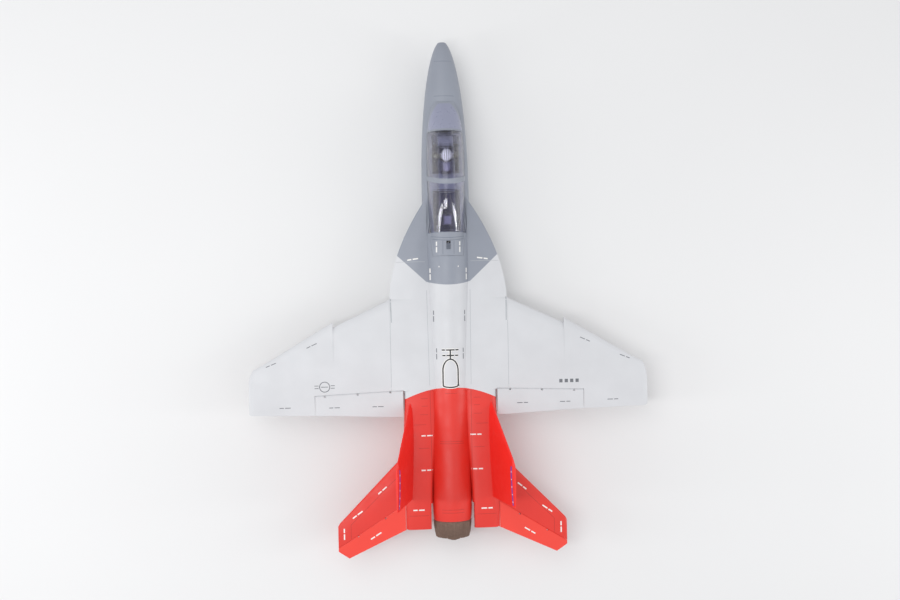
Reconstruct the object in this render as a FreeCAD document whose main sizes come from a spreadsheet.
import FreeCAD, Part
import math
import os
import Sketcher
from FreeCAD import Placement, Rotation, Vector

# A foam ducted-fan jet. +X is the pilot's left, the nose points along -Y, +Z is up, and the
# aircraft lies on its flat belly at z = 0. A station is a distance back from the nose tip.

DIMENSIONS = {
    # whole aircraft
    "length": 1036,
    "nose_tip": -5,
    "span": 800,
    "wing_height": 84,
    "engine_height": 65,
    "foam_wall": 6.5,
    # fuselage, by station
    "nose_joint": 100,
    "cockpit_half": 47.4,
    "cockpit_station": 300,
    "wing_joint": 443,
    "tail_joint": 762,
    "shroud_end": 962,
    "boom_inner": 43.3,
    # leading-edge extension
    "strake_tip": 327,
    # canopy hatch
    "hatch_front": 124.7,
    "hatch_rear": 433,
    "sill_height": 87,
    "glass_front": 187,
    "glass_rear": 387,
    "bow_station": 275,
    "frame_wall": 3,
    "glass_wall": 1.2,
    "well_half": 25.5,
    # wing
    "wing_root": 117.6,
    "wing_front": 517,
    "wing_back": 752,
    "tooth_half": 231.8,
    "tooth_inner_front": 570,
    "tooth_outer_front": 559.8,
    "aileron_inner": 94.6,
    "aileron_outer": 269.3,
    "aileron_hinge_in": 700.5,
    "aileron_hinge_out": 707.4,
    "spar_station": 600,
    "spar_radius": 3,
    # tailplane
    "stab_tip": 229.6,
    "elevator_inner": 94.6,
    "elevator_hinge_in": 927,
    "elevator_hinge_out": 1011.5,
    # linkages
    "arm_length": 12,
    "rod_radius": 0.75,
    "hinge_pin": 0.9,
    "hinge_gap": 2.2,
    # ducted fan
    "fan_bore": 32,
    "fan_outer": 34,
    "motor_radius": 11.5,
    "shaft_radius": 1.6,
    "blade_tip": 31,
    "nozzle_exit": 996,
    "nozzle_lip": 33.4,
}

doc = FreeCAD.newDocument("rc_jet")
sheet = doc.addObject("Spreadsheet::Sheet", "Sheet")
for row, (alias, value) in enumerate(DIMENSIONS.items(), start=1):
    sheet.set("A%d" % row, alias)
    sheet.set("B%d" % row, str(value))
    sheet.setAlias("B%d" % row, alias)
doc.recompute()


class Size:
    """A size in millimetres that remembers the sheet expression it came from."""

    def __init__(self, value, text):
        self.value = float(value)
        self.text = text

    def __float__(self):
        return self.value

    def combined(self, sign, other, value):
        return Size(value, "(%s %s %s)" % (self.text, sign, text_of(other)))

    def __add__(self, other):
        return self.combined("+", other, self.value + float(other))

    def __radd__(self, other):
        return self + other

    def __sub__(self, other):
        return self.combined("-", other, self.value - float(other))

    def __rsub__(self, other):
        return -self + other

    def __mul__(self, other):
        return self.combined("*", other, self.value * float(other))

    def __rmul__(self, other):
        return self * other

    def __truediv__(self, other):
        return self.combined("/", other, self.value / float(other))

    def __neg__(self):
        return Size(-self.value, "(0 - %s)" % self.text)


def text_of(size):
    return size.text if isinstance(size, Size) else "(%.6f)" % size


class Dimensions:
    """The sheet's cells by alias."""

    def __getattr__(self, alias):
        return Size(sheet.get(alias), "Sheet." + alias)


dim = Dimensions()
MIDDLE = dim.length / 2 + dim.nose_tip
CIRCLE = 0.5523
FIT = 0.05
GAP = 0.3
NODES = {}


def at(station):
    """The y of a station."""
    return station - MIDDLE


# ---------------------------------------------------------------- document helpers


def keep(name, piece):
    """Make a piece one of the aircraft's named nodes."""
    piece.Label = name
    NODES[name] = piece
    return piece


def put(piece, x=0, y=0, z=0, turn=None):
    """Place a piece, with its place bound to the sheet."""
    base = Vector(float(x), float(y), float(z))
    piece.Placement = Placement(base, turn or Rotation())
    for axis, value in zip("xyz", (x, y, z)):
        if isinstance(value, Size):
            piece.setExpression("Placement.Base." + axis, value.text)
    return piece


def sized(kind, name, **sizes):
    """A Part primitive whose sizes are bound to the sheet."""
    piece = doc.addObject("Part::" + kind, name)
    for prop, value in sizes.items():
        setattr(piece, prop, float(value))
        if isinstance(value, Size):
            piece.setExpression(prop, value.text)
    return piece


def block(name, x, y, z):
    """A box from its lowest and highest x, y and z."""
    piece = sized("Box", name, Length=x[1] - x[0], Width=y[1] - y[0], Height=z[1] - z[0])
    return put(piece, x[0], y[0], z[0])


def rod(name, radius, start, along):
    """A round rod from a point, along a vector of its own length."""
    piece = sized("Cylinder", name, Radius=radius, Height=along.Length)
    return put(piece, *start, turn=Rotation(Vector(0, 0, 1), along))


def joined(name, *pieces):
    piece = doc.addObject("Part::MultiFuse", name)
    piece.Shapes = list(pieces)
    return piece


def cut(name, base, *tools):
    piece = doc.addObject("Part::Cut", name)
    piece.Base = base
    piece.Tool = tools[0] if len(tools) == 1 else joined(name + "_tools", *tools)
    return piece


def mirrored(name, source):
    """The starboard twin of a port piece."""
    piece = doc.addObject("Part::Mirroring", name)
    piece.Source = source
    piece.Normal = Vector(1, 0, 0)
    return keep(name, piece)


def free_shape(name, shape):
    """A node whose shape no sketch or primitive gives."""
    piece = doc.addObject("Part::Feature", name)
    piece.Shape = shape
    piece.Placement = Placement()
    return keep(name, piece)


def outline_sketch(part, role, points):
    """A closed outline on one of a body's own planes, each corner bound to the sheet."""
    plane = next(f for f in part.Origin.OriginFeatures if f.Role == role)
    outline = part.newObject("Sketcher::SketchObject", part.Name + "_outline")
    outline.AttachmentSupport = [(plane, "")]
    outline.MapMode = "FlatFace"
    corners = [Vector(float(across), float(up), 0) for across, up in points]
    count = len(corners)
    for index, corner in enumerate(corners):
        outline.addGeometry(Part.LineSegment(corner, corners[(index + 1) % count]), False)
    for index in range(count):
        outline.addConstraint(Sketcher.Constraint("Coincident", index, 2, (index + 1) % count, 1))
    for index, (point, corner) in enumerate(zip(points, corners)):
        for kind, size, number in (("DistanceX", point[0], corner.x), ("DistanceY", point[1], corner.y)):
            held = outline.addConstraint(Sketcher.Constraint(kind, -1, 1, index, 1, number))
            if isinstance(size, Size):
                outline.setExpression("Constraints[%d]" % held, size.text)
    return outline


def padded(name, role, points, thickness):
    """A body with one pad of an outline."""
    part = doc.addObject("PartDesign::Body", name)
    pad = part.newObject("PartDesign::Pad", name + "_pad")
    pad.Profile = outline_sketch(part, role, points)
    pad.Length = float(thickness)
    if isinstance(thickness, Size):
        pad.setExpression("Length", thickness.text)
    return part


def pocketed(part, role, points, depth):
    """A pocket through a body, both ways from its plane."""
    doc.recompute()
    before = part.Shape.Volume
    pocket = part.newObject("PartDesign::Pocket", part.Name + "_pocket")
    pocket.Profile = outline_sketch(part, role, points)
    pocket.SideType = "Symmetric"
    pocket.Length = float(depth)
    doc.recompute()
    assert part.Shape.Volume < before - 0.1, "the pocket in %s cut nothing" % part.Name
    return part


def turned(name, *outlines):
    """A body of revolution about the engine's axis, from outlines of (station, radius)."""
    part = doc.addObject("PartDesign::Body", name)
    for outline in outlines:
        turn_outline(part, outline)
    return put(part, 0, -MIDDLE, dim.engine_height)


def turn_outline(part, outline):
    turn = part.newObject("PartDesign::Revolution", part.Name + "_turn")
    turn.Profile = outline_sketch(part, "YZ_Plane", outline)
    turn.ReferenceAxis = (turn.Profile[0], ["H_Axis"])
    turn.Angle = 360


def vanes(part, outline, count, inner, outer):
    """Flat slanted vanes between two radii, spaced evenly about the engine's axis."""
    pad = part.newObject("PartDesign::Pad", part.Name + "_vane")
    pad.Profile = outline_sketch(part, "XY_Plane", outline)
    pad.Profile[0].AttachmentOffset = Placement(Vector(0, 0, float(inner)), Rotation())
    pad.Length = float(outer) - float(inner)
    axis = next(f for f in part.Origin.OriginFeatures if f.Role == "Y_Axis")
    ring = part.newObject("PartDesign::PolarPattern", part.Name + "_vanes")
    ring.Originals = [pad]
    ring.Axis = (axis, [""])
    ring.Angle = 360
    ring.Occurrences = count
    part.Tip = ring


# ---------------------------------------------------------------- shape helpers


def brick(x, y, z):
    """A plain box shape from its lowest and highest x, y and z."""
    low = Vector(float(x[0]), float(y[0]), float(z[0]))
    high = Vector(float(x[1]), float(y[1]), float(z[1]))
    size = high - low
    return Part.makeBox(size.x, size.y, size.z, low)


def round_bar(radius, start, end):
    return Part.makeCylinder(float(radius), (end - start).Length, start, end - start)


def prism(points, low, high):
    """An upright prism from an outline of (x, station)."""
    corners = [Vector(float(x), float(at(station)), float(low)) for x, station in points]
    return Part.Face(Part.makePolygon(corners + corners[:1])).extrude(Vector(0, 0, high - low))


def twin(shape):
    """A shape with its starboard twin."""
    return [shape, shape.mirror(Vector(), Vector(1, 0, 0))]


def curve(*poles):
    edge = Part.BezierCurve()
    edge.setPoles([Vector(*pole) for pole in poles])
    return edge.toShape()


def quarters(station, centre, half_width, middle, top, bottom, full=CIRCLE, full_below=CIRCLE):
    """A closed section of four quarter curves: CIRCLE makes an ellipse, more a squarer corner."""
    y = float(at(station))
    edges = []
    for side, height, fullness in ((1, top, full), (-1, top, full), (-1, bottom, full_below),
                                   (1, bottom, full_below)):
        reach = half_width * side
        poles = [(centre + reach, y, middle), (centre + reach, y, middle + fullness * (height - middle)),
                 (centre + reach * fullness, y, height), (centre, y, height)]
        edges.append(curve(*poles) if side * (height - middle) > 0 else curve(*poles[::-1]))
    return Part.Wire(edges)


def loft(sections, ruled=False):
    return Part.makeLoft(sections, True, ruled)


# ---------------------------------------------------------------- fuselage


def nose_section(station):
    """Half-width, middle, top and bottom of the nose, each a stretch of an ellipse."""
    tip = float(dim.nose_tip)
    reach = max(station - tip, 0.1)

    def eased(end):
        return math.sqrt(1 - (1 - reach / (end - tip)) ** 2)

    start = 56
    return (float(dim.cockpit_half) * eased(float(dim.cockpit_station)), start + 8 * station / 300,
            start + 44 * eased(330), start - 57 * eased(400))


NOSE_STATIONS = (-5, -4.1, -1, 7, 20, 42, 75, 110, 150, 200, 250, 300)
BELLY_FULL = 0.62
TRUNK_FULL = 0.8
BOOM_FULL = 0.88
DUCT_FULL = 0.62

# station, half-width, middle, top, bottom of the round core behind the cockpit
CORE = [
    (330, 47.4, 64.5, 100, -0.4),
    (370, 46.6, 66, 110, -1),
    (410, 45.5, 68, 121, -1),
    (443, 44.5, 69, 125, -1),
    (489, 44, 69, 123, -1),
    (560, 42.5, 68, 115.5, -1),
    (640, 41, 67, 110, -1),
    (694, 40.5, 66, 107.6, -1),
    (760, 40.5, 66, 107.2, 2),
    (860, 40.5, 66, 107, 15),
    (926, 40.6, 66, 106.6, 25.4),
    (962, 37.8, 65.5, 103.3, 27.7),
]

# station, half-width, top of the canopy's blister
BLISTER = [
    (112, 8, 86),
    (130, 22, 96.5),
    (155, 31, 113),
    (187, 35.5, 131),
    (220, 37.4, 144),
    (262, 37.8, 151.5),
    (300, 37.4, 152),
    (345, 36.3, 146.5),
    (398, 34.2, 134),
    (433, 32.5, 125.6),
]

# station, inner and outer side, bottom, top of the intake trunk beside the core
TRUNK = [
    (384, 51, 84, 8, 80),
    (440, 34, 93, 1, 82),
    (490, 20, 96, -1.2, 82),
    (560, 10, 97, -1.5, 82),
    (640, 5, 94, -1.5, 82),
    (720, 5, 86, -1, 82),
    (790, 5, 74, 3, 82),
    (850, 5, 60, 14, 80),
    (905, 5, 46, 26, 78),
]

# station, inner and outer side, bottom, top of the tail boom
BOOM = [
    (690, 28, 93.3, 66, 94),
    (752, 28, 93.3, 60, 94),
    (800, 30, 95.5, 56, 94),
    (860, 36, 94.5, 60, 93.5),
    (926, 40, 93, 67, 92),
    (978, 42, 91, 73, 88),
]


def core(inset, first=NOSE_STATIONS[0]):
    """The round body; its belly is fuller between the cockpit and the tail."""
    sections = []
    ahead = [(s, *nose_section(s)) for s in NOSE_STATIONS if s >= first]
    for station, half, middle, top, bottom in ahead + CORE:
        boxy = CIRCLE if station < 300 or station > 800 else BELLY_FULL
        sections.append(quarters(station, 0, half - inset, middle, top - inset, bottom + inset,
                                 full_below=boxy))
    return loft(sections)


def blister(inset):
    """The canopy's rounded top, from below the sill."""
    sill = 88
    foot = 70
    return loft([quarters(station, 0, half - inset, sill, top - inset, foot)
                 for station, half, top in BLISTER])


def side_body(rows, inset, full):
    """A squarish trunk lying beside the core."""
    sections = []
    for station, inner, outer, bottom, top in rows:
        half = (outer - inner) / 2 - inset
        middle = (bottom + top) / 2
        sections.append(quarters(station, (inner + outer) / 2, half, middle, top - inset, bottom + inset,
                                 full, full))
    return loft(sections)


def half_thickness(fraction, chord, ratio):
    """Half the thickness of a symmetrical aerofoil with a slightly blunt trailing edge."""
    f = fraction
    shape = 0.2969 * math.sqrt(f) - 0.126 * f - 0.3516 * f ** 2 + 0.2843 * f ** 3 - 0.1036 * f ** 4
    return 5 * ratio * chord * shape + 0.7 * f


WING_RATIO = 0.085
TAIL_RATIO = 0.075
FIN_RATIO = 0.06


def strake_edge(station):
    """Half-width of the leading-edge extension, a curve from the cockpit side to the wing root."""
    root = float(dim.wing_root)
    front = float(dim.wing_front)
    start = 48
    curvature = 1.8
    if station >= front:
        return root
    return root - (root - start) * ((front - station) / (front - float(dim.strake_tip))) ** curvature


DECK_START = 313


def strake_deck():
    """The extensions and wing roots as one flat lifting body across the fuselage."""
    ahead = deck_loft((DECK_START, 327, 345, 370, 400, 437, 470, 500, 517), False)
    beside = deck_loft((517, 519, 522, 527, 534, 544, 558, 576, 598, 622, 648, 674, 700), True)
    return [ahead, beside]


def deck_loft(stations, ruled):
    height = float(dim.wing_height)
    chord = float(dim.wing_back) - float(dim.wing_front)
    sections = []
    for station in stations:
        edge = strake_edge(station)
        flat = 0.55 * edge
        growth = min(1.0, (station - DECK_START) / (float(dim.wing_joint) - DECK_START))
        fraction = max(0.0, (station - float(dim.wing_front)) / chord)
        thin = max(1.3, half_thickness(fraction, chord, WING_RATIO))
        rise = 4 + 6 * growth
        y = float(at(station))
        sides = []
        for level, lip in ((height + rise, height + thin), (height - rise, height - thin)):
            for side in (1, -1):
                run = edge - flat
                sides.append([(side * edge, y, lip), (side * (edge - run / 3), y, (lip + level) / 2),
                              (side * (flat + run / 3), y, level), (side * flat, y, level)])
        port_top, far_top, port_low, far_low = sides
        edges = [curve(*port_top), curve(port_top[3], far_top[3]), curve(*far_top[::-1]),
                 curve(far_top[0], far_low[0]), curve(*far_low), curve(far_low[3], port_low[3]),
                 curve(*port_low[::-1]), curve(port_low[0], port_top[0])]
        sections.append(Part.Wire(edges))
    return loft(sections, ruled)


def hatch_prism(shrink=0.0):
    """The upright cut round the canopy hatch."""
    front = float(dim.hatch_front) + shrink
    rear = float(dim.hatch_rear) - shrink
    port = [(40 - shrink, front), (40 - shrink, 392), (34 - shrink, 398), (30 - shrink, rear)]
    points = port + [(-x, station) for x, station in port[::-1]]
    return prism(points, float(dim.sill_height) + shrink, 170)


def slab(first, last):
    """Everything between two stations."""
    return brick((-300, 300), (at(first), at(last)), (-50, 300))


def fan_hatch_box(grow):
    return brick((-37 - grow, 37 + grow), (at(566 - grow), at(700 + grow)), (-5, 9 + grow))


TRAY_FLOOR = 24
FAN_FACE = 596


def fuselage():
    """The fuselage shells, with every seat, slot and bore that other pieces need."""
    trunks = twin(side_body(TRUNK, 0, TRUNK_FULL))
    booms = twin(side_body(BOOM, 0, BOOM_FULL))
    outer = core(0).fuse(trunks + booms + strake_deck())
    beside_wing = brick((dim.wing_root, 300), (at(dim.wing_front), 300), (0, 200))
    under_belly = brick((-400, 400), (-600, 600), (-30, 0))
    outer = outer.cut([under_belly] + twin(beside_wing))
    wall = float(dim.foam_wall)
    hollow = core(wall, 25).fuse(twin(side_body(TRUNK, wall, TRUNK_FULL)))
    ledges = [brick((-30, 30), (at(s), at(s + 12)), (0, TRAY_FLOOR)) for s in (196, 384)]
    hollow = hollow.cut(ledges)
    engine = Vector(0, 0, float(dim.engine_height))
    fan_seat = round_bar(dim.fan_outer + 0.2, engine + Vector(0, float(at(FAN_FACE)), 0),
                         engine + Vector(0, float(at(965)), 0))
    bay = brick((-29, 29), (at(152), at(396)), (60, 100))
    inner = float(dim.boom_inner)
    gap = brick((-inner, inner), (at(dim.shroud_end), at(1000)), (0, 200))
    slots = [prism([(side * 39.2, 926.5), (side * inner, 926.5), (side * inner, 985), (side * 37.2, 985)],
                   20, 160) for side in (1, -1)]
    raked = [Vector(49, float(at(s)), z) for s, z in ((380, 84), (384, 82), (412, 6), (412, -5), (380, -5))]
    mouths = twin(Part.Face(Part.makePolygon(raked + raked[:1])).extrude(Vector(50, 0, 0)))
    shell = outer.cut([hollow, fan_seat, bay, gap] + slots + mouths + hatch_opening())
    shell = shell.cut(twin(surface_clearance(AILERON)) + twin(wing_tongue()) + twin(fin())
                      + twin(tailplane_blank()) + twin(duct_outside()) + screw_holes() + spar_bores())
    cover = shell.common(fan_hatch_box(0))
    shell = shell.cut(fan_hatch_box(GAP))
    free_shape("fan_hatch", cover)
    free_shape("nose_cone", shell.common(slab(-1, dim.nose_joint)))
    free_shape("forward_fuselage", shell.common(slab(dim.nose_joint, dim.wing_joint)))
    free_shape("centre_fuselage", shell.common(slab(dim.wing_joint, dim.tail_joint)))
    free_shape("rear_fuselage", shell.common(slab(dim.tail_joint, 1010)))


# ---------------------------------------------------------------- canopy hatch and cockpit


def hatch_opening():
    return [hatch_prism(-GAP)]


# half-width and station of the windscreen's tongue-shaped outline
SCREEN = [(12, 128), (17.3, 134.5), (24.5, 146), (29.2, 157), (32.2, 168), (34.3, 183)]


def hatch():
    """The lift-off hatch: windscreen fairing, clear canopy, and the frame that carries them."""
    outer = core(0).fuse(blister(0)).common(hatch_prism())
    frame_inner = core(float(dim.frame_wall)).fuse(blister(float(dim.frame_wall)))
    glass_inner = core(float(dim.glass_wall)).fuse(blister(float(dim.glass_wall)))
    rim = float(dim.sill_height) + 7
    glass_zone = brick((-60, 60), (at(dim.glass_front), at(dim.glass_rear)), (rim, 200))
    tongue = SCREEN + [(-half, station) for half, station in SCREEN[::-1]]
    screen_zone = prism(tongue, rim - 3, 200)
    thin = outer.cut(glass_inner)
    foot = float(at(dim.bow_station))
    slant = ((-4.5, rim - 4), (4.5, rim - 4), (21, 160), (11, 160))
    side_view = [Vector(-60, foot + along, z) for along, z in slant]
    bow_zone = Part.Face(Part.makePolygon(side_view + side_view[:1])).extrude(Vector(120, 0, 0))
    bow = blister(-1).cut(blister(0)).common(bow_zone)
    frame = outer.cut(frame_inner).cut([glass_zone, screen_zone]).fuse(bow).cut(latch_slot())
    free_shape("canopy_frame", frame)
    free_shape("canopy_glass", thin.common(glass_zone))
    free_shape("windscreen", thin.common(screen_zone))
    free_shape("cockpit_tub", tub(frame_inner))


# first and last station of each seat's well
WELLS = [(193, 268), (304, 382)]
# front, back and top of the instrument coaming ahead of each well
COAMINGS = [(188, 193, 108), (289, 303, 112)]
WELL_FLOOR = 86
DECK_TOP = 99


def tub(inside):
    """The moulded cockpit: a deck with a well and a coaming for each seat."""
    deck = brick((-60, 60), (at(187), at(388)), (DECK_TOP - 2, DECK_TOP)).common(inside)
    parts = []
    wells = []
    wide = float(dim.well_half)
    wall = 1.5
    for first, last in WELLS:
        trough = brick((-wide - wall, wide + wall), (at(first - wall), at(last + wall)),
                       (WELL_FLOOR - wall, DECK_TOP - 1))
        parts.append(trough)
        wells.append(brick((-wide, wide), (at(first), at(last)), (WELL_FLOOR, 120)))
    for front, back, top in COAMINGS:
        foot = DECK_TOP - 1
        ends = [Vector(-23, float(at(front)), foot), Vector(-23, float(at(back)), foot),
                Vector(-19, float(at(back)), top), Vector(-19, float(at(front + 2)), top - 3)]
        near = Part.makePolygon(ends + ends[:1])
        far = near.mirror(Vector(), Vector(1, 0, 0))
        parts.append(Part.makeLoft([near, far], True, True))
    return deck.fuse(parts).cut(wells)


def seat(name, station):
    """An ejection-seat shape, pan, back and headrest box, as one padded side outline."""
    outline = [(-24, 0), (16, 0), (19, 30), (19, 35), (3, 35), (0, 28), (-3, 8), (-24, 7)]
    wide = 18
    part = padded(name, "YZ_Plane", outline, wide)
    return keep(name, put(part, -wide / 2, at(station), WELL_FLOOR))


def pilot():
    """A simple seated bust: helmet, neck and body. Radii are up, across and along."""
    place = at(235)
    helmet = sized("Ellipsoid", "helmet", Radius1=11.5, Radius2=10.4, Radius3=13)
    neck = rod("neck", 4, (0, place, 112), Vector(0, 0, 10))
    chest = sized("Ellipsoid", "chest", Radius1=12.2, Radius2=21, Radius3=7.5)
    keep("pilot_figure", joined("pilot", put(helmet, 0, place, 127.5), neck, put(chest, 0, place, 105.4)))


PANEL_FRONT, _, PANEL_TOP = BLISTER[-2]
PANEL_REAR, _, PANEL_END = BLISTER[-1]
PANEL_FALL = (PANEL_TOP - PANEL_END) / (PANEL_REAR - PANEL_FRONT)
LATCH_STATION = 413
LATCH_TURN = Rotation(Vector(1, 0, 0), -math.degrees(math.atan(PANEL_FALL)))
LATCH_PLACE = (0, at(LATCH_STATION), PANEL_TOP - (LATCH_STATION - PANEL_FRONT) * PANEL_FALL)


def latch_slot():
    """The slot through the hatch's rear panel that the latch slides in."""
    slot = Part.makeBox(8, 17, 12, Vector(-4, -9, -6))
    slot.Placement = Placement(Vector(*[float(v) for v in LATCH_PLACE]), LATCH_TURN)
    return slot


def latch():
    """The sliding latch in the hatch's rear panel, and the spring that returns it."""
    slide = block("latch_slide", (-3.7, 3.7), (-4, 7.6), (-3.4, 0.4))
    ribs = [block("latch_rib", (-3, 3), (y, y + 1), (0.3, 1.2)) for y in (-2, 0.5, 3)]
    keep("canopy_latch", put(joined("latch", slide, *ribs), *LATCH_PLACE, turn=LATCH_TURN))
    wire = rod("spring_outside", 1.3, (0, -8.8, -1.8), Vector(0, 4.6, 0))
    core_hole = rod("spring_inside", 0.8, (0, -9, -1.8), Vector(0, 5, 0))
    keep("latch_spring", put(cut("spring", wire, core_hole), *LATCH_PLACE, turn=LATCH_TURN))


# ---------------------------------------------------------------- flying surfaces


def aerofoil(x, leading, trailing, ratio, height, across=Vector(0, 0, 1), steps=9):
    """A closed aerofoil section at a spanwise place, chord along the aircraft."""
    chord = trailing - leading
    nose = Vector(x, float(at(leading)), height)
    fractions = [(1 - math.cos(math.pi * i / steps)) / 2 for i in range(steps + 1)]

    def skin(fraction, side):
        return nose + Vector(0, fraction * chord, 0) + across * side * half_thickness(fraction, chord, ratio)

    points = [skin(f, 1) for f in fractions[::-1]] + [skin(f, -1) for f in fractions[1:]]
    edge = Part.BSplineCurve()
    edge.interpolate(points)
    return Part.Wire([edge.toShape(), Part.LineSegment(points[-1], points[0]).toShape()])


class Surface:
    """A hinged trailing-edge surface: its hinge line and the outline behind it."""

    def __init__(self, name, span, hinge_stations, back, radii, tongues, horn, rod_run):
        self.name = name
        self.inner, self.outer = span
        self.start = hinge_stations[0]
        self.slope_from = 94
        self.slope = (hinge_stations[1] - self.start) / (self.outer - self.slope_from)
        self.back = back
        self.radii = radii
        self.tongues = tongues
        self.horn = horn
        self.rod_run = rod_run
        self.angle = math.atan(float(self.slope))
        self.turn = Rotation(Vector(0, 0, 1), math.degrees(self.angle))

    def hinge(self, x):
        """A point of the hinge line, by its x."""
        return (x, at(self.start + (x - self.slope_from) * self.slope), dim.wing_height)

    def hinge_vector(self, x):
        return Vector(*[float(v) for v in self.hinge(x)])

    def station(self, x):
        return float(self.start + (x - self.slope_from) * self.slope)

    def place(self, x):
        return Placement(self.hinge_vector(x), self.turn)

    def span_slab(self, gap):
        return brick((float(self.inner) - gap, float(self.outer) + gap), (-600, 600), (-50, 300))

    def barrel(self, grow):
        """The round leading edge, a cone about the hinge line."""
        start = self.hinge_vector(float(self.inner) - 8)
        end = self.hinge_vector(float(self.outer) + 8)
        low, high = self.radii
        return Part.makeCone(low + grow, high + grow, (end - start).Length, start, end - start)

    def behind(self, gap, ahead):
        """The outline of everything behind the hinge line."""
        inner = float(self.inner) - gap
        outer = float(self.outer) + gap
        return prism([(inner, self.station(inner) - ahead), (outer, self.station(outer) - ahead),
                      (outer, self.back), (inner, self.back)], 20, 140)


AILERON = Surface("aileron", (dim.aileron_inner, dim.aileron_outer),
                  (dim.aileron_hinge_in, dim.aileron_hinge_out), back=770, radii=(4.0, 2.75),
                  tongues=(120, 185, 250), horn=150, rod_run=34)
ELEVATOR = Surface("elevator", (dim.elevator_inner, dim.stab_tip),
                   (dim.elevator_hinge_in, dim.elevator_hinge_out), back=1050, radii=(3.85, 1.4),
                   tongues=(135, 190), horn=112, rod_run=30)


def surface_clearance(surface):
    """The space a hinged surface needs: everything behind it and a cove round its barrel."""
    gap = 0.7
    cove_gap = 0.45
    cove = surface.barrel(cove_gap).common(surface.span_slab(gap))
    return surface.behind(gap, float(dim.hinge_gap)).fuse(cove)


def wing_blank():
    """The whole wing from inside the body to the tip, with its dogtooth."""
    height = float(dim.wing_height)
    root = [(90, 517, 752), (117.6, 517, 751.8)]
    inner = root + [(float(dim.tooth_half) - 1, float(dim.tooth_inner_front), 746.1)]
    outer = [(float(dim.tooth_half), float(dim.tooth_outer_front), 746), (371, 642, 742.6),
             (391, 652, 742)]
    tip = [(391, 652, 742, 1), (396.5, 662, 741.6, 0.8), (400, 676, 739, 0.35)]
    main = loft([aerofoil(x, a, b, WING_RATIO, height) for x, a, b in inner], True)
    panel = loft([aerofoil(x, a, b, WING_RATIO, height) for x, a, b in outer], True)
    end = loft([aerofoil(x, a, b, WING_RATIO * part, height) for x, a, b, part in tip], True)
    overlap = loft([aerofoil(x, a, b, WING_RATIO, height) for x, a, b in
                    ((float(dim.tooth_half) - 1, 570, 746.1), (float(dim.tooth_half), 570, 746))], True)
    return main.fuse([overlap, panel, end])


SCREW_X = 109
SCREW_RADIUS = 1.55
HEAD_RADIUS = 3.1


def wing_tongue():
    """The tongue that plugs the wing into the body."""
    return brick((101, 119), (at(562), at(638)), (79.5, 88.5))


def screw_places():
    return [(side * SCREW_X, station) for side in (1, -1) for station in (574, 626)]


def screw_holes():
    """Stepped bores from below, through the body and into each wing's tongue."""
    holes = []
    for x, station in screw_places():
        foot = Vector(x, float(at(station)), 60)
        holes.append(round_bar(SCREW_RADIUS + FIT, foot, foot + Vector(0, 0, 28.5)))
        holes.append(round_bar(HEAD_RADIUS + 2 * FIT, foot, foot + Vector(0, 0, 18)))
    return holes


SPAR_ENDS = (62, 250)


def spar_bores():
    y = float(at(dim.spar_station))
    height = float(dim.wing_height)
    near, far = SPAR_ENDS
    return [round_bar(dim.spar_radius, Vector(side * near, y, height), Vector(side * far, y, height))
            for side in (1, -1)]


def local_box(surface, x, across, along, up):
    """A box in the hinge's own directions: across along the hinge, along rearwards."""
    shape = brick(across, along, up)
    shape.Placement = surface.place(x)
    return shape


def servo_pocket(surface):
    run = surface.rod_run
    return local_box(surface, surface.horn, (-19.4, 5.6), (-run - 13, -run + 9), (-13, 1.2))


def tongue_slots(surface):
    return [local_box(surface, x, (-1.5, 1.5), (-9, 0), (-1, 1)) for x in surface.tongues]


def hinge_notches(surface):
    """Room for the hinge tongues in the moving surface, and the bores for their cross pins."""
    cuts = [local_box(surface, x, (-1.9, 1.9), (-8, 2.2), (-9, 9)) for x in surface.tongues]
    for x in surface.tongues:
        bore = round_bar(dim.hinge_pin + FIT, Vector(-6.4, 0, 0), Vector(6.4, 0, 0))
        bore.Placement = Placement(surface.hinge_vector(x), surface.turn)
        cuts.append(bore)
    return cuts


def moving_surface(surface, blank):
    """The hinged surface itself: the blank behind the hinge with its round barrel."""
    aft = blank.common(surface.behind(0, 0))
    barrel = surface.barrel(0).common(surface.span_slab(0)).common(blank)
    return aft.fuse(barrel).cut(hinge_notches(surface))


def tailplane_blank():
    """The swept tailplane with its root plug, which fills a slot in the boom."""
    height = float(dim.wing_height)
    rows = [(86, 818.5, 974.4, 1), (208.3, 942.8, 1031, 1), (226, 960.8, 1019.3, 1),
            (229.6, 967, 1016.5, 0.4)]
    return loft([aerofoil(x, a, b, TAIL_RATIO * part, height) for x, a, b, part in rows], True)


def fin():
    """A fin leaning outwards, its root in the top of the boom."""
    rows = [(80.5, 719, 916, 86, 1), (81.3, 724.5, 916, 92, 1), (110.6, 828, 921, 195, 1),
            (113, 838, 921.5, 200, 0.6)]
    tilt = math.radians(16)
    lean = Vector(math.cos(tilt), 0, -math.sin(tilt))
    return loft([aerofoil(x, a, b, FIN_RATIO * part, z, lean) for x, a, b, z, part in rows], True)


def wings():
    blank = wing_blank()
    root_gap = 0.15
    body_side = brick((float(dim.wing_root) + root_gap, 500), (-600, 600), (-50, 300))
    fixed = blank.common(body_side).fuse(wing_tongue())
    tools = [surface_clearance(AILERON), servo_pocket(AILERON)] + tongue_slots(AILERON)
    port = free_shape("wing_left", fixed.cut(tools + screw_holes() + spar_bores()))
    mirrored("wing_right", port)
    port = free_shape("aileron_left", moving_surface(AILERON, blank).cut(horn_slot(AILERON)))
    mirrored("aileron_right", port)


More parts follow.
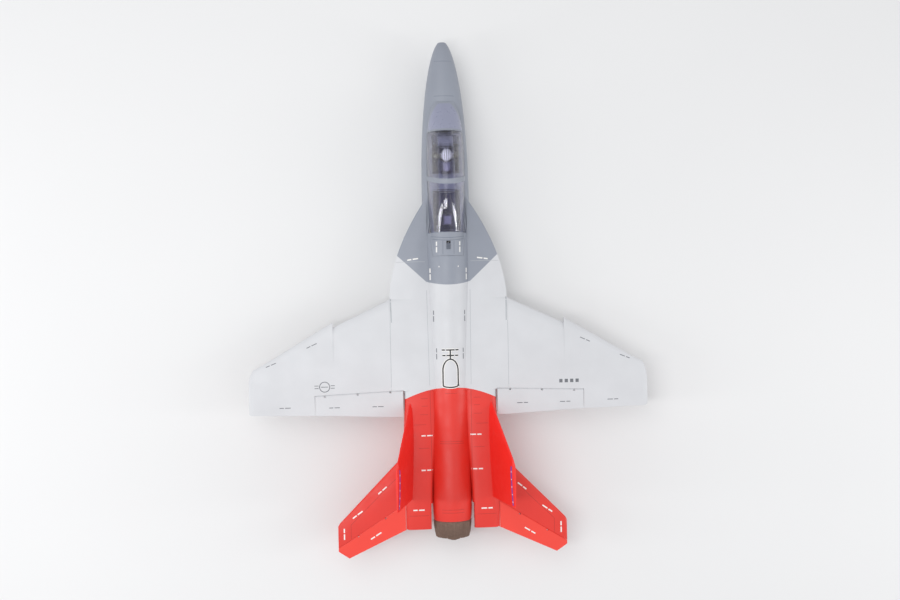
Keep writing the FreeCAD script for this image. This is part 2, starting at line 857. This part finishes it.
def tail():
    blank = tailplane_blank()
    cuts = [surface_clearance(ELEVATOR), servo_pocket(ELEVATOR)] + tongue_slots(ELEVATOR)
    boom_side = brick((86, 500), (-600, 600), (-50, 300))
    port = free_shape("stab_left", blank.common(boom_side).cut(cuts))
    mirrored("stab_right", port)
    port = free_shape("elevator_left", moving_surface(ELEVATOR, blank).cut(horn_slot(ELEVATOR)))
    mirrored("elevator_right", port)
    port = free_shape("fin_left", fin())
    mirrored("fin_right", port)


# ---------------------------------------------------------------- linkages

SERVO_DROP = 3.4
HORN_SIDE = 0.3
HORN_WIDE = 1.2
ARM_SIDE = 0.2
PIVOT_PLAY = 0.3


def horn_slot(surface):
    return local_box(surface, surface.horn, (HORN_SIDE, HORN_SIDE + HORN_WIDE), (3, 16), (-9, 0))


def linkage(surface, number):
    """Servo, arm, pushrod and horn: a parallelogram, so the arm turns just as the surface does."""
    name = surface.name
    run = surface.rod_run
    hinge = surface.hinge(surface.horn)
    back = surface.turn.multVec(Vector(0, -run, 0))
    shaft = (hinge[0] + back.x, hinge[1] + back.y, hinge[2] - SERVO_DROP)
    arm = dim.arm_length
    radius = dim.rod_radius

    case = block("servo_case", (-19, -1.5), (-12.5, 7), (-4.4, 4.4))
    ears = block("servo_ears", (-7, -5.5), (-12.7, 8.5), (-4.4, 4.4))
    boss = rod("servo_boss", 2.4, (-1.6, 0, 0), Vector(1.6, 0, 0))
    servo = joined("servo_%d" % number, case, ears, boss)
    servo = keep(name + "_servo_left", put(servo, *shaft, turn=surface.turn))
    mirrored(name + "_servo_right", servo)

    blade = [(3.2, 0), (1.8, -arm - 1), (0, -arm - 2), (-1.8, -arm - 1), (-3.2, 0), (0, 3.2)]
    lever = padded("arm_%d" % number, "YZ_Plane", blade, 1.4)
    pocketed(lever, "YZ_Plane", ring_of(radius + FIT, 0, -arm), 10)
    place = (shaft[0] + ARM_SIDE * math.cos(surface.angle), shaft[1] + ARM_SIDE * math.sin(surface.angle),
             shaft[2])
    lever = keep(name + "_servo_arm_left", put(lever, *place, turn=surface.turn))
    mirrored(name + "_servo_arm_right", lever)

    rod_side = 3.2
    slant = Vector(0, run, SERVO_DROP)
    run_rod = rod("rod_run", radius, (rod_side, 0, 0), slant)
    near = rod("rod_near", radius, (-0.4, 0, 0), Vector(rod_side + 0.4, 0, 0))
    far = rod("rod_far", radius, (-0.4, run, SERVO_DROP), Vector(rod_side + 0.4, 0, 0))
    elbows = [put(sized("Sphere", "rod_elbow", Radius=radius), rod_side, y, z)
              for y, z in ((0, 0), (run, SERVO_DROP))]
    wire = joined("pushrod_%d" % number, run_rod, near, far, *elbows)
    wire = keep(name + "_pushrod_left", put(wire, shaft[0], shaft[1], shaft[2] - arm, turn=surface.turn))
    mirrored(name + "_pushrod_right", wire)

    foot = 2.0
    plate = [(3, -foot), (3, -5), (-1.8, -arm - 1), (-0.6, -arm - 2), (1.6, -arm - 1.4), (16, -5),
             (16, -foot)]
    horn = padded("horn_%d" % number, "YZ_Plane", plate, HORN_WIDE)
    pocketed(horn, "YZ_Plane", ring_of(radius + PIVOT_PLAY, 0, -arm), 10)
    offset = surface.turn.multVec(Vector(HORN_SIDE, 0, 0))
    horn = keep(name + "_horn_left", put(horn, hinge[0] + offset.x, hinge[1] + offset.y, hinge[2],
                                         turn=surface.turn))
    mirrored(name + "_horn_right", horn)

    tongues = []
    for x in surface.tongues:
        tab = block("tongue", (-1.5, 1.5), (-9, 0.9), (-1, 1))
        pin = rod("tongue_pin", dim.hinge_pin, (-6.2, 0, 0), Vector(12.4, 0, 0))
        tongues.append(put(joined("hinge_tongue", tab, pin), *surface.hinge(x), turn=surface.turn))
    group = keep(name + "_hinges_left", joined(name + "_tongues", *tongues))
    mirrored(name + "_hinges_right", group)


def ring_of(radius, across, up, sides=20):
    """A many-sided hole outline about a point."""
    turns = [2 * math.pi * i / sides for i in range(sides)]
    return [(across + radius * math.cos(turn), up + radius * math.sin(turn)) for turn in turns]


# ---------------------------------------------------------------- ducted fan

# station, inner and outer side, bottom, top of the duct from the mouth to the fan's face
DUCT = [
    (413, 52, 82, 15, 74),
    (470, 34, 84, 9, 73),
    (530, 12, 70, 14, 76),
    (570, 2, 44, 26, 90),
    (596, 0.3, 33, 32, 98),
]


def duct_outside():
    return side_body(DUCT, 0, DUCT_FULL)


def intake_duct():
    """A thin duct from the mouth under the strake to the fan's face."""
    wall = 1.2
    port = free_shape("intake_duct_left", duct_outside().cut(side_body(DUCT, wall, DUCT_FULL)))
    mirrored("intake_duct_right", port)


def fan():
    """Housing with stator vanes, rotor, spinner, motor, shaft, thrust tube and exhaust nozzle."""
    bore = dim.fan_bore
    outer = dim.fan_outer
    motor = dim.motor_radius
    shaft = dim.shaft_radius
    housing = turned("fan_housing", [(596.5, bore + 1), (596.5, outer), (690, outer), (690, bore),
                                     (612, bore)])
    vanes(housing, [(0.5, 640), (2.5, 640), (1, 655), (-1, 655)], 5, motor + 1, bore + 1)
    turn_outline(housing, [(638, motor + 0.2), (638, motor + 1.6), (660, motor + 1.6), (660, motor + 0.2)])
    keep("fan_housing", housing)

    rotor = turned("fan_rotor", [(618, shaft), (618, 13), (634, 13), (634, 11.5), (622, 11.5), (622, 5),
                                 (634, 5), (634, shaft)])
    vanes(rotor, [(2.8, 632), (4.2, 632), (-2.8, 620), (-4.2, 620)], 12, 12.4, dim.blade_tip)
    keep("fan_rotor", rotor)

    nose = [(598, 0), (600, 4.5), (604, 8.2), (610, 11.4), (617.9, 13), (617.9, shaft + GAP),
            (612, shaft + GAP), (612, 0)]
    keep("fan_spinner", turned("fan_spinner", nose))

    can = [(637, shaft + FIT), (637, 5), (638.2, 5), (638.2, motor), (672, motor), (675, motor - 3),
           (675, 0), (660, 0), (660, shaft + FIT)]
    keep("fan_motor", turned("fan_motor", can))
    keep("motor_shaft", turned("motor_shaft", [(613, 0), (613, shaft), (659, shaft), (659, 0)]))

    tube = [(690.2, outer - 0.6), (944.8, outer - 1.4), (944.8, outer - 2.2), (690.2, outer - 1.4)]
    keep("thrust_tube", turned("thrust_tube", tube))

    lip = dim.nozzle_exit
    nozzle = [(945, outer - 2.4), (945, outer - 0.1), (962.2, outer - 0.1), (962.2, 37.9), (975, 37.3),
              (986, 35.8), (lip, dim.nozzle_lip), (lip, dim.nozzle_lip - 1.5)]
    keep("exhaust_nozzle", turned("exhaust_nozzle", nozzle))


# ---------------------------------------------------------------- gear inside


def equipment():
    """Battery, radio gear, spars and screws."""
    shelf = TRAY_FLOOR + 3
    keep("battery_tray", block("battery_tray", (-18, 18), (at(190), at(402)), (TRAY_FLOOR, shelf)))
    pack = block("battery_block", (-17, 17), (at(204), at(308)), (shelf, 51))
    battery = doc.addObject("Part::Fillet", "battery")
    battery.Base = pack
    battery.Edges = [(edge, 3.0, 3.0) for edge in (2, 4, 6, 8)]
    keep("battery", battery)
    ring = block("strap_outside", (-19.2, 19.2), (at(246), at(262)), (22.8, 52.2))
    hole = block("strap_inside", (-18.1, 18.1), (at(245), at(263)), (23.9, 51.1))
    keep("battery_strap", cut("battery_strap", ring, hole))
    keep("receiver", block("receiver", (-10, 10), (at(314), at(346)), (shelf, 39)))
    board = block("controller_board", (-13, 13), (at(350), at(398)), (shelf, 34))
    fins = [block("controller_fin", (-12, 12), (at(s), at(s + 1.5)), (33.5, 38))
            for s in range(354, 395, 5)]
    keep("speed_controller", joined("speed_controller", board, *fins))

    near, far = SPAR_ENDS
    bars = [rod("spar_bar", dim.spar_radius, (side * near, at(dim.spar_station), dim.wing_height),
                Vector(side * (far - near), 0, 0)) for side in (1, -1)]
    keep("wing_spars", joined("wing_spars", *bars))
    screws = []
    for x, station in screw_places():
        head = rod("screw_head", HEAD_RADIUS, (x, at(station), 76), Vector(0, 0, 2))
        shank = rod("screw_shank", SCREW_RADIUS, (x, at(station), 77.5), Vector(0, 0, 10))
        screws.append(joined("screw", head, shank))
    keep("wing_screws", joined("wing_screws", *screws))


def check_document():
    """Stop on any object that failed or any node without a sound shape."""
    for piece in doc.Objects:
        for word in ("Invalid", "Error"):
            assert word not in piece.State, "%s is %s" % (piece.Label, piece.State)
    for name, piece in NODES.items():
        assert not piece.Shape.isNull() and piece.Shape.isValid(), "%s has no sound shape" % name
        assert piece.Shape.Solids, "%s is not solid" % name


def main():
    fuselage()
    hatch()
    seat("front_seat", 247)
    seat("rear_seat", 352)
    pilot()
    latch()
    wings()
    tail()
    linkage(AILERON, 1)
    linkage(ELEVATOR, 2)
    intake_duct()
    fan()
    equipment()
    doc.recompute()
    check_document()
    os.makedirs("parts", exist_ok=True)
    for name, piece in NODES.items():
        piece.Shape.exportStep("parts/%s.step" % name)
    print(len(NODES), "nodes")


main()
